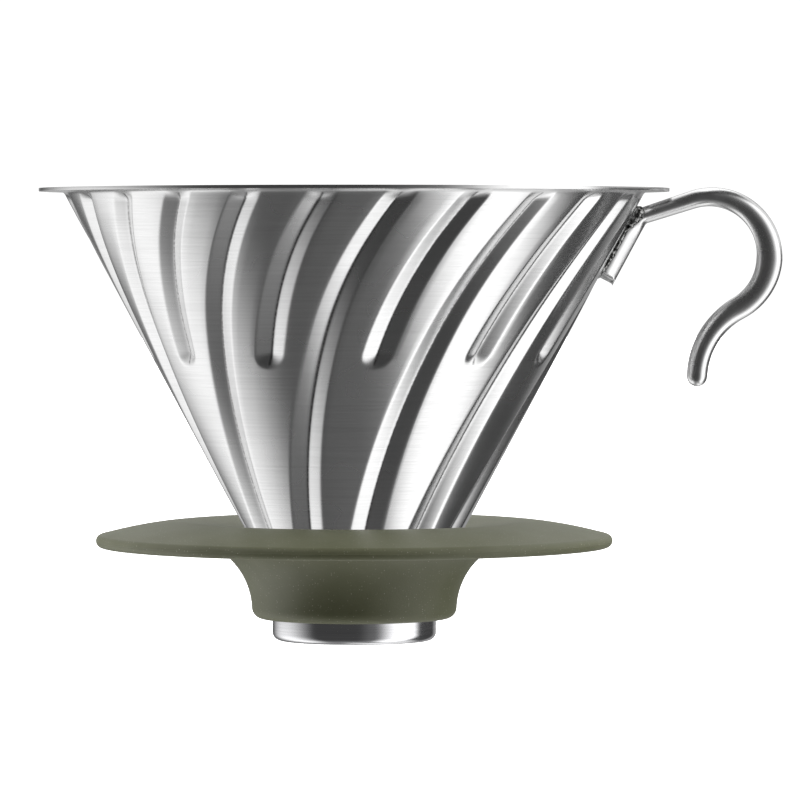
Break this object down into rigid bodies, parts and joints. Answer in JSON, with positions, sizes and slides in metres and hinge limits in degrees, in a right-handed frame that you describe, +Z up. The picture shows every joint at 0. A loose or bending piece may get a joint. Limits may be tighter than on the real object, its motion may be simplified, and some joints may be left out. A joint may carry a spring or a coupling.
{
  "type": "pour over coffee dripper",
  "caption": "Steel cone dripper with swirling ribs, flat rim, welded wire hook handle, base ring and a pull-off silicone saucer that rests on a mug or server.",
  "frame": {"origin": "on the cone's axis at the foot of the base ring, which is also the lower edge of the outlet hole", "axes": "+Z up along the cone's axis, +X towards the hook handle"},
  "size_m": [0.1369, 0.116, 0.0835],
  "materials": {
    "brushed_steel": "brushed round the axis",
    "polished_steel": "polished",
    "ring_steel": "fine turned and polished",
    "weld_metal": "rough weld",
    "silicone": "matte moulded"
  },
  "bodies": {
    "dripper": {"cone": "brushed_steel", "hook_handle": "polished_steel", "handle_welds": "weld_metal", "base_ring": "ring_steel", "ring_weld": "weld_metal"},
    "base": {"silicone_base": "silicone"}
  },
  "joints": [
    {"name": "base_pull_off", "type": "slide", "parent": "dripper", "child": "base", "axis": [0, 0, -1], "range_m": [0, 0.03]}
  ]
}
